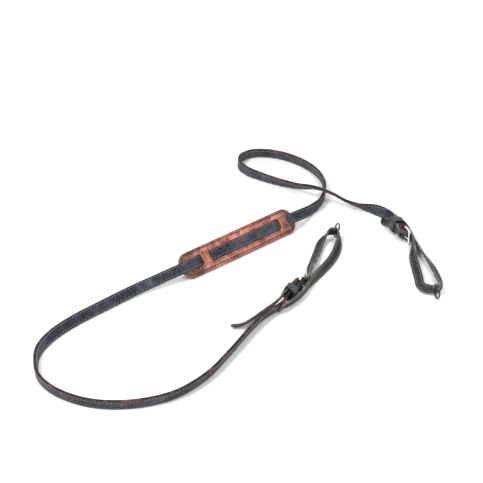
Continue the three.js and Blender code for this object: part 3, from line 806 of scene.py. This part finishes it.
def pad_leather(name, light, middle, dark, rim, slot_highlight):
    """Glossy tan leather, redder and darker toward its edges and ends and in cloudy patches, with a
    painted highlight round its slots.
    """
    m = Nodes(name)
    cloudy = m.ramp(m.noise(PAD_GRAIN["clouds"], 5, 0.65), 0.42, 0.6)
    streaks = m.ramp(m.noise(PAD_GRAIN["streaks"], 5, 0.7), 0.42, 0.66)
    specks = m.ramp(m.noise(PAD_GRAIN["specks"], 4, 0.75), 0.48, 0.7)
    # Painted highlight: an orange colour round each slot's rim stands in for light on its raised
    # edge, and holds back the dark edge colour there.
    slot_rim_highlight = m.attribute("slot_rim_highlight")
    # The light colour in these clouds and specks is partly the leather's own mottling and partly
    # painted sheen.
    face = m.mix(cloudy, middle, light)
    face = m.cover(face, streaks, 0.8, dark)
    face = m.cover(face, specks, 0.5, light)
    face = m.cover(face, m.attribute("groove"), 0.35, dark)
    # Darker toward the pad's edges and ends.
    face = m.cover(face, m.attribute("darker_edges_and_ends"), 0.7, dark)
    face = m.cover(face, slot_rim_highlight, 0.7, slot_highlight)
    at_edge = m.ramp(m.attribute("edge"), 0.2, 0.9)
    at_edge = m.math("MULTIPLY", at_edge, m.ramp(slot_rim_highlight, 0, 1, 1, 0.3))
    m.look("Base Color", m.mix(at_edge, face, rim))
    m.look("Coat Weight", 0.35)
    m.look("Coat Roughness", 0.22)
    rough = m.ramp(m.noise(PAD_GRAIN["gloss"], 3, 0.6), 0.3, 0.7, 0.2, 0.38)
    m.look("Roughness", rough)
    pores = m.pores(PAD_GRAIN["cells"], 0.2)
    fine = m.noise(PAD_GRAIN["fine"], 4, 0.65)
    grain = m.math("ADD", m.math("MULTIPLY", pores, 0.5), fine)
    m.bump(0.55, 0.3 * MM, m.math("ADD", grain, m.math("MULTIPLY", streaks, 1.2)))
    return m.material


def thread(name, light, dark):
    """Waxed thread with a fine twist."""
    m = Nodes(name)
    twist = m.add("ShaderNodeTexWave", {"Vector": m.where, "Scale": 900.0, "Distortion": 1.5},
                  bands_direction="DIAGONAL").outputs["Fac"]
    m.look("Base Color", m.mix(twist, dark, light))
    m.look("Roughness", m.ramp(twist, 0, 1, 0.45, 0.7))
    m.bump(0.5, 0.1 * MM, twist)
    return m.material


def metal(name, light, dark, roughness):
    """Plated metal with faint clouds and fine scratches."""
    m = Nodes(name)
    cloudy = m.ramp(m.noise(260, 3, 0.6), 0.35, 0.65)
    m.look("Base Color", m.mix(cloudy, dark, light))
    m.look("Metallic", 1.0)
    scratches = m.noise(2600, 2, 0.5)
    m.look("Roughness", m.ramp(scratches, 0.3, 0.7, roughness, roughness + 0.12))
    m.bump(0.12, 0.05 * MM, scratches)
    return m.material


NAVY = strap_leather("navy_leather", front=colour(20, 25, 43), back=colour(44, 39, 43),
                     edge=(colour(40, 34, 34), colour(112, 72, 56)), pale=colour(122, 125, 137),
                     deep=colour(5, 6, 9))
# The end straps' edge colours are light grey: partly the raw edge's own colour and partly a painted
# highlight for edges lit from above.
DARK = strap_leather("dark_leather", front=colour(20, 23, 25), back=colour(25, 24, 22),
                     edge=(colour(92, 86, 80), colour(148, 140, 132)), pale=colour(100, 100, 95),
                     deep=colour(9, 9, 10))
# The keepers' leather: a lighter, bluer copy of the navy, as painted sheen for their lit faces.
KEEPER_SHEEN = strap_leather("navy_leather_painted_sheen", front=colour(54, 62, 68), back=colour(44, 42, 42),
                     edge=(colour(34, 32, 34), colour(74, 66, 66)), pale=colour(112, 120, 126),
                     deep=colour(16, 18, 21))
# The orange given here is a painted highlight for the slots' rims.
TAN = pad_leather("tan_leather", light=colour(238, 158, 134), middle=colour(142, 60, 43),
                  dark=colour(50, 20, 16), rim=colour(98, 40, 28), slot_highlight=colour(200, 112, 60))
NAVY_THREAD = thread("navy_thread", colour(146, 144, 146), colour(60, 58, 62))
BROWN_THREAD = thread("brown_thread", colour(60, 26, 22), colour(22, 10, 9))
NICKEL = metal("nickel", (0.97, 0.96, 0.95, 1), (0.85, 0.84, 0.84, 1), 0.2)
BRONZE = metal("dark_bronze", (0.16, 0.13, 0.11, 1), (0.07, 0.055, 0.045, 1), 0.2)


# The pieces.


def make_strap():
    """The long strap and its stitches."""
    half = STRAP["width"] / 2

    def skive(distance):
        near, far = SEWN_AT["near"] - SKIVE, SEWN_AT["far"] + SKIVE
        return np.maximum(smooth((near - distance) / SKIVE), smooth((distance - far) / SKIVE))

    def half_at(distance):
        return half + (STRAP["narrowed"] / 2 - half) * skive(distance)

    def thickness_at(distance):
        return STRAP["thickness"] + (STRAP["skived"] - STRAP["thickness"]) * skive(distance)

    slot = PRONG["slot"] / STRAP["narrowed"]
    windows = [(at - PRONG["strap_slot"] / 2, at + PRONG["strap_slot"] / 2, -slot, slot)
               for at in BAR_AT.values()]
    stops = sorted([0, strap_line.length] + [w[i] for w in windows for i in (0, 1)])
    along = [strap_line.stations(a, b, FINE["strap"], FINE["turn"])[:-1]
             for a, b in zip(stops, stops[1:])]
    along = np.append(np.concatenate(along), strap_line.length)
    points, faces, marks = leather_sheet(along, columns(half, slot), half_at, thickness_at,
                                         strap_line, windows)
    mesh_piece("strap_leather", points, faces, NAVY, "strap_leather", marks, ["strap"])
    strap_stitches("strap_stitches", strap_line, SEWN_AT["near"] - 1, SEWN_AT["far"] + 1, half,
                   STRAP["thickness"])


# The prong crosses at this row of the end strap's way through the buckle.
CROSSING_ROW = 3


def make_end_strap(end):
    """One end strap with its hole for the prong, its rounded tip and its stitches."""
    name = end["name"]
    route = end_route(end)
    crossing = len(SEWN_STEPS) + len(RIGHT_LEG) + len(RING_TURN) + len(LEFT_LEG) + CROSSING_ROW
    middle = route.at_row(crossing) - SHOWN_END["hole_back"]
    slot = PRONG["slot"] / END["width"]
    tip = END["width"] / 2
    body = route.length - tip
    window = (middle - PRONG["hole"] / 2, middle + PRONG["hole"] / 2, -slot, slot)
    stops = (0, window[0], window[1], body)
    along = [route.stations(a, b, FINE["end_strap"], FINE["turn"])[:-1]
             for a, b in zip(stops, stops[1:])]
    quarter = np.sin(np.linspace(0, 1, FINE["tip"]) * math.pi / 2)
    round_tip = tip * quarter * SHOWN_END["blunt_tip"]
    along = np.concatenate(along + [body + round_tip])

    def half_at(distance):
        into = np.maximum(0, distance - body)
        return np.sqrt(np.maximum(0, tip**2 - into**2))

    def thickness_at(distance):
        return np.full(len(distance), END["thickness"])

    points, faces, marks = leather_sheet(along, columns(tip, slot), half_at, thickness_at, route,
                                         [window])
    mesh_piece(f"end_strap_leather_{name}", points, faces, DARK, "strap_leather", marks,
               [f"end_strap_{name}"])
    strap_stitches(f"end_strap_stitches_{name}", route, SHOWN_END["seam_start"], body, tip,
                   END["thickness"])


def rounded_rectangle(width, height, corner, steps):
    """A closed outline of (a, b) points, counterclockwise."""
    outline = []
    for quarter, (sx, sy) in enumerate(((1, 1), (-1, 1), (-1, -1), (1, -1))):
        for k in range(steps + 1):
            turn = (quarter + k / steps) * 90
            outline.append((sx * (width / 2 - corner) + corner * cos(turn),
                            sy * (height / 2 - corner) + corner * sin(turn)))
    return np.array(outline)


def resampled(outline, spacing):
    """The same closed outline with points at an even spacing."""
    closed = np.vstack([outline, outline[:1]])
    reached = np.concatenate([[0], np.cumsum(np.linalg.norm(np.diff(closed, axis=0), axis=1))])
    count = max(8, round(reached[-1] / spacing))
    wanted = np.arange(count) * reached[-1] / count
    return np.stack([np.interp(wanted, reached, closed[:, k]) for k in (0, 1)], 1)


def rounded_distance(u, v, width, height, corner):
    """Signed distance from a rounded rectangle's outline, negative inside."""
    a = np.abs(u) - (width / 2 - corner)
    b = np.abs(v) - (height / 2 - corner)
    outside = np.hypot(np.maximum(a, 0), np.maximum(b, 0))
    return outside + np.minimum(np.maximum(a, b), 0) - corner


def slot_shapes():
    """The pad's slots: (middle, length, width, corner) of each."""
    wide = STRAP["width"] + 2 * SHOWN_SLOT["clearance"]
    shapes = []
    for middle in BRIDGES:
        for side in (-1, 1):
            place = middle + side * (SLOT["bridge"] + SLOT["length"]) / 2
            shapes.append((place, SLOT["length"], wide, SHOWN_SLOT["corner"]))
    return shapes


def slot_distances(u, v):
    """Signed distances from the outline of each slot, positive in the leather."""
    return [rounded_distance(u - middle, v, length, width, corner)
            for middle, length, width, corner in slot_shapes()]


def from_pad_outline(u, v):
    """Distance inward from the pad's outline."""
    return -rounded_distance(u, v, PAD["length"], PAD["width"], PAD["corner"])


def pad_inset(u, v):
    """Distance into the pad's leather from its nearest edge."""
    return np.min([from_pad_outline(u, v), *slot_distances(u, v)], axis=0)


# Lines of the pad's mesh: (inset, spacing) along its edges, and those of the seam's groove as
# shares of the stitch's radius. The grid between them keeps clear of both.
PAD_LINES = ((0, 0.8), (0.08, 0.8), (0.26, 0.8), (0.5, 0.8), (EDGE["radius"], 0.9))
SEAM_LINES = (-1.2, -0.5, 0, 0.5, 1.2)
PAD_GRID = dict(step=1.1, ends=1, sides=0.6, stop=0.25, from_edge=0.5, from_seam=0.9)

# Darker leather at the pad's edges and toward its ends.
PAD_DARKENING = dict(edge=0.45, edge_width=4.5, ends=0.95, ends_start=38, ends_length=30)


def pad_outline(inset):
    """The pad's outline, moved inward by an inset."""
    return rounded_rectangle(PAD["length"] - 2 * inset, PAD["width"] - 2 * inset,
                             PAD["corner"] - inset, 12)


def pad_lines():
    """Closed lines that the pad's mesh follows: round its edge, its slots and its seam."""
    lines = []
    for inset, spacing in PAD_LINES:
        lines.append(resampled(pad_outline(inset), spacing))
        for middle, length, width, corner in slot_shapes():
            around = rounded_rectangle(length + 2 * inset, width + 2 * inset, corner + inset, 8)
            lines.append(resampled(around, spacing * 0.8) + [middle, 0])
    for step in SEAM_LINES:
        inset = PAD_STITCH["inset"] + step * PAD_STITCH["radius"]
        lines.append(resampled(pad_outline(inset), 1.0))
    return lines


def pad_grid():
    """Places of an even grid over the pad, apart from those near an edge or the seam."""
    along, across = (np.arange(start - size / 2, size / 2 - PAD_GRID["stop"], PAD_GRID["step"])
                     for start, size in ((PAD_GRID["ends"], PAD["length"]),
                                         (PAD_GRID["sides"], PAD["width"])))
    u, v = (places.ravel() for places in np.meshgrid(along, across, indexing="ij"))
    off_edge = pad_inset(u, v) > EDGE["radius"] + PAD_GRID["from_edge"]
    off_seam = np.abs(from_pad_outline(u, v) - PAD_STITCH["inset"]) > PAD_GRID["from_seam"]
    return np.stack([u, v], 1)[off_edge & off_seam]


def pad_triangles():
    """The pad's flat places and the triangles between them, with its slots left open."""
    flat, edges = [], []
    for line in pad_lines():
        start = len(flat)
        flat.extend(line.tolist())
        edges.extend((start + k, start + (k + 1) % len(line)) for k in range(len(line)))
    flat.extend(pad_grid().tolist())
    made = geometry.delaunay_2d_cdt([Vector(point) for point in flat], edges, [], 0, 1e-5)
    flat = np.array([tuple(point) for point in made[0]])
    triangles = np.array([tuple(face) for face in made[2]])
    middles = flat[triangles].mean(axis=1)
    return flat, triangles[pad_inset(middles[:, 0], middles[:, 1]) > 0]


def open_sides(triangles):
    """The sides that only one triangle has."""
    sides = np.concatenate([triangles[:, [0, 1]], triangles[:, [1, 2]], triangles[:, [2, 0]]])
    lines, times = np.unique(np.sort(sides), axis=0, return_counts=True)
    return lines[times == 1]


def make_pad():
    """The shoulder pad: a plate with slots, rounded edges and raised bridges."""
    flat, triangles = pad_triangles()
    count = len(flat)
    u, v = flat[:, 0], flat[:, 1]
    inset = np.maximum(pad_inset(u, v), 0)
    groove = groove_mark(from_pad_outline(u, v), PAD_STITCH)
    thick = PAD["thickness"] / 2 * rounding(inset) - PAD_STITCH["groove"] * groove
    rise = bridge_rise(u, v)
    points = np.concatenate([on_pad(u, v, rise + side * thick) for side in (1, -1)])
    faces = triangles.tolist() + (triangles[:, ::-1] + count).tolist()
    faces += [(a, b, b + count, a + count) for a, b in open_sides(triangles)]
    near_edge = smooth(1 - inset / PAD_DARKENING["edge_width"])
    near_end = smooth((np.abs(u) - PAD_DARKENING["ends_start"]) / PAD_DARKENING["ends_length"])
    darker_edges_and_ends = np.clip(PAD_DARKENING["edge"] * near_edge + PAD_DARKENING["ends"] * near_end, 0, 1)
    # Where the painted highlight round the slots shows, strongest at their edges.
    slot_rim_highlight = smooth(1 - np.min(slot_distances(u, v), axis=0) / SHOWN_SLOT["rim"])
    marks = dict(edge=edge_mark(inset), groove=groove, darker_edges_and_ends=darker_edges_and_ends, slot_rim_highlight=slot_rim_highlight)
    marks = {key: np.tile(values, 2) for key, values in marks.items()}
    mesh_piece("shoulder_pad_leather", points, faces, TAN, "pad_leather", marks, ["shoulder_pad"])


def make_pad_stitches():
    """The seam round both faces of the pad."""
    seam = resampled(pad_outline(PAD_STITCH["inset"]), PAD_STITCH["pitch"])
    ahead = np.roll(seam, -1, axis=0) - np.roll(seam, 1, axis=0)
    ahead = ahead[:, :1] * PAD_AHEAD + ahead[:, 1:] * PAD_TOP
    raised = stitch_height(PAD["thickness"], PAD_STITCH)
    rise = bridge_rise(seam[:, 0], seam[:, 1])
    centres = [on_pad(seam[:, 0], seam[:, 1], rise + side * raised) for side in (1, -1)]
    outs = [np.tile(PAD_FACE * side, (len(seam), 1)) for side in (1, -1)]
    seams = stitch_mesh(centres, [ahead, ahead], outs, PAD_STITCH)
    mesh_piece("shoulder_pad_stitches", *seams, BROWN_THREAD, "pad_leather")


# The keeper's wall: its corners, its sharpest bend, the mesh's spacing and how much its edges show.
WALL = dict(corner=0.5, sharpest=0.4, along=0.45, around=0.5, edge=0.6)


def make_keeper(end):
    """The keeper: a leather sleeve with rounded rims."""
    high = STRAP["width"] + 2 * GAP + 2 * KEEPER["wall"]
    deep = (2 * KEEPER["wall"] + KEEPER["slack"] + STRAP["thickness"] + STRAP["skived"]
            + END["thickness"] + 4 * GAP - KEEPER["snug"])
    length = KEEPER["length"]
    count = FINE["keeper_round"]
    section = rounded_rectangle(length, KEEPER["wall"], WALL["corner"], 6)
    loops, marks, edge = [], [], []
    for u, depth in resampled(section, WALL["along"]):
        inset = KEEPER["wall"] / 2 - depth
        bend = max(WALL["sharpest"], KEEPER["corner"] - inset)
        outline = rounded_rectangle(high - 2 * inset, deep - 2 * inset, bend, 8)
        outline = resampled(outline, WALL["around"])
        closed = np.vstack([outline, outline[:1]])
        reached = np.linspace(0, len(outline), count, endpoint=False)
        across, out = (np.interp(reached, np.arange(len(closed)), closed[:, k]) for k in (0, 1))
        loops.append(unit_place(end, KEEPER_REACH + u, across, out + KEEPER["shift"]))
        marks.append(np.stack([np.full(count, u), across, np.full(count, 1.0)], 1))
        edge.append(np.full(count, float(edge_mark(length / 2 - abs(u)))))
    marks = {"leather": np.concatenate(marks), "edge": np.concatenate(edge) * WALL["edge"],
             "groove": np.zeros(len(loops) * count)}
    faces = loop_faces(len(loops), count)
    # The keeper's lighter leather is painted sheen of the navy's lit face.
    mesh_piece(f"keeper_leather_{end['name']}", loops, faces, KEEPER_SHEEN, "strap_leather", marks,
               [f"keeper_{end['name']}"])


def swept_rod(path, radius_at, sides, closed):
    """Points and faces of a round rod along a path."""
    count = len(path)
    if closed:
        ahead = unit(np.roll(path, -1, axis=0) - np.roll(path, 1, axis=0))
    else:
        ahead = unit(np.gradient(path, axis=0))
    side = vec(0.31, 0.47, 0.83)
    turns = np.arange(sides)[:, None] * 2 * math.pi / sides
    rings = []
    for i in range(count):
        side = unit(side - ahead[i] * np.dot(side, ahead[i]))
        other = np.cross(ahead[i], side)
        radius = radius_at(i / (count - 1))
        rings.append(path[i] + radius * (np.cos(turns) * side + np.sin(turns) * other))
    if not closed:
        return rings, rod_faces(count, sides)
    # A closed rod joins up on the corner that its carried side direction came back to.
    turn = int(np.argmin(np.linalg.norm(rings[0] - rings[-1][0], axis=1)))
    return rings, loop_faces(count, sides, turn)


def make_buckle_frame(end):
    """The buckle's closed frame of round wire."""
    name = end["name"]
    outline = rounded_rectangle(FRAME["length"] - 2 * FRAME["wire"],
                                FRAME["width"] - 2 * FRAME["wire"], FRAME["corner"], 10)
    outline = resampled(outline, FRAME["wire"] / 2)
    middle = BAR_REACH + FRAME["length"] / 2 - FRAME["wire"]
    path = unit_place(end, middle + outline[:, 0], outline[:, 1], 0, UNIT["buckle_lean"])
    rod = swept_rod(path, lambda share: FRAME["wire"], SIDES["frame"], True)
    mesh_piece(f"buckle_frame_metal_{name}", *rod, NICKEL, "buckle_steel", None,
               [f"buckle_frame_{name}"])


# The prong's eye in degrees, and its tongue with a blunt, tapered tip.
EYE = dict(start=-120, sweep=150, steps=22)
TONGUE = dict(start=0.16, steps=16, lift=0.15, tip=0.45, taper=9)


def make_buckle_prong(end):
    """The prong: an eye round the bar, then a straight tongue that rests on the far rail."""
    name = end["name"]
    eye = FRAME["wire"] + PRONG["play"] + PRONG["wire"]
    turns = np.radians(EYE["start"] - np.linspace(0, 1, EYE["steps"]) * EYE["sweep"])
    tip = FRAME["length"] - 2 * FRAME["wire"] + PRONG["over"]
    shares = np.linspace(TONGUE["start"], 1, TONGUE["steps"])
    reach = np.concatenate([eye * np.cos(turns), shares * tip])
    out = np.concatenate([eye * np.sin(turns), eye + TONGUE["lift"] * smooth(shares * 4)])
    path = unit_place(end, BAR_REACH + reach, 0, out, UNIT["buckle_lean"])

    def radius_at(share):
        return PRONG["wire"] * min(1, TONGUE["tip"] + TONGUE["taper"] * (1 - share))

    rod = swept_rod(path, radius_at, SIDES["prong"], False)
    mesh_piece(f"buckle_prong_metal_{name}", *rod, NICKEL, "buckle_steel", None,
               [f"buckle_prong_{name}"])


# The split ring: its steps, half its crossing as a share of a turn, its start in radians, and the
# share of the wire's size that keeps its turns clear of each other.
SPLIT = dict(steps=120, crossing=0.06, start=2.4, clear=0.98)


def make_ring(end):
    """The lug ring: two turns of wire side by side."""
    ahead, _ = end_axes(end)
    normal = np.cross(ahead, UP)
    turns = np.linspace(0, 2, SPLIT["steps"] + 1)
    wire = RING["wire"] / 2
    crossing = (0, 1 - SPLIT["crossing"], 1 + SPLIT["crossing"], 2)
    shift = np.interp(turns, crossing, (-wire, -wire, wire, wire))
    angle = (turns * 2 * math.pi + SPLIT["start"])[:, None]
    path = (ring_centre(end) + RING["radius"] * (np.cos(angle) * ahead + np.sin(angle) * UP)
            + shift[:, None] * normal)
    rod = swept_rod(path, lambda share: wire * SPLIT["clear"], SIDES["ring"], False)
    mesh_piece(f"lug_ring_metal_{end['name']}", *rod, BRONZE, "ring_steel", None,
               [f"lug_ring_{end['name']}"])


# Floor, light and camera.


def aim(thing, place, direction):
    """Put an object at a place and point it along a direction."""
    thing.location = place
    thing.rotation_mode = "QUATERNION"
    thing.rotation_quaternion = direction.to_track_quat("-Z", "Y")


def make_camera():
    back = vec(0, -cos(VIEW["elevation"]), sin(VIEW["elevation"]))
    data = bpy.data.cameras.new("view")
    data.sensor_width = VIEW["sensor"]
    focal_pixels = VIEW["pixels_per_mm"] * VIEW["distance"] / MM
    data.lens = focal_pixels / VIEW["frame"] * VIEW["sensor"]
    data.clip_end = 50
    camera = new_object("view", data)
    aim(camera, SHIFT * MM + back * VIEW["distance"], Vector(-back))
    bpy.context.scene.camera = camera


def make_floor():
    half = 6.0
    corners = [(-half, -half, 0), (half, -half, 0), (half, half, 0), (-half, half, 0)]
    mesh = bpy.data.meshes.new("floor")
    mesh.from_pydata(corners, [], [(0, 1, 2, 3)])
    paper = Nodes("paper")
    paper.look("Base Color", (0.93, 0.93, 0.93, 1))
    paper.look("Roughness", 0.9)
    paper.look("Specular IOR Level", 0.1)
    mesh.materials.append(paper.material)
    new_object("floor", mesh)


# Softboxes: place, size and power.
LIGHTS = (
    ("key", (-0.9, -0.7, 1.5), 0.7, 26),
    ("fill", (0.7, -1.0, 1.35), 0.3, 12),
    ("back", (0.2, 1.3, 1.4), 1.2, 12),
)


def make_lights():
    for name, place, size, power in LIGHTS:
        data = bpy.data.lights.new(name, "AREA")
        data.shape = "SQUARE"
        data.size = size
        data.energy = power
        aim(new_object(name, data), place, -Vector(place))
    world = bpy.data.worlds.new("studio")
    world.use_nodes = True
    light = world.node_tree.nodes["Background"].inputs
    light["Color"].default_value = (1, 1, 1, 1)
    light["Strength"].default_value = 0.5
    bpy.context.scene.world = world
    bpy.context.scene.view_settings.view_transform = "Standard"


make_camera()
make_floor()
make_lights()
make_strap()
make_pad()
make_pad_stitches()
for one_end in (NEAR, FAR):
    make_end_strap(one_end)
    make_keeper(one_end)
    make_buckle_frame(one_end)
    make_buckle_prong(one_end)
    make_ring(one_end)
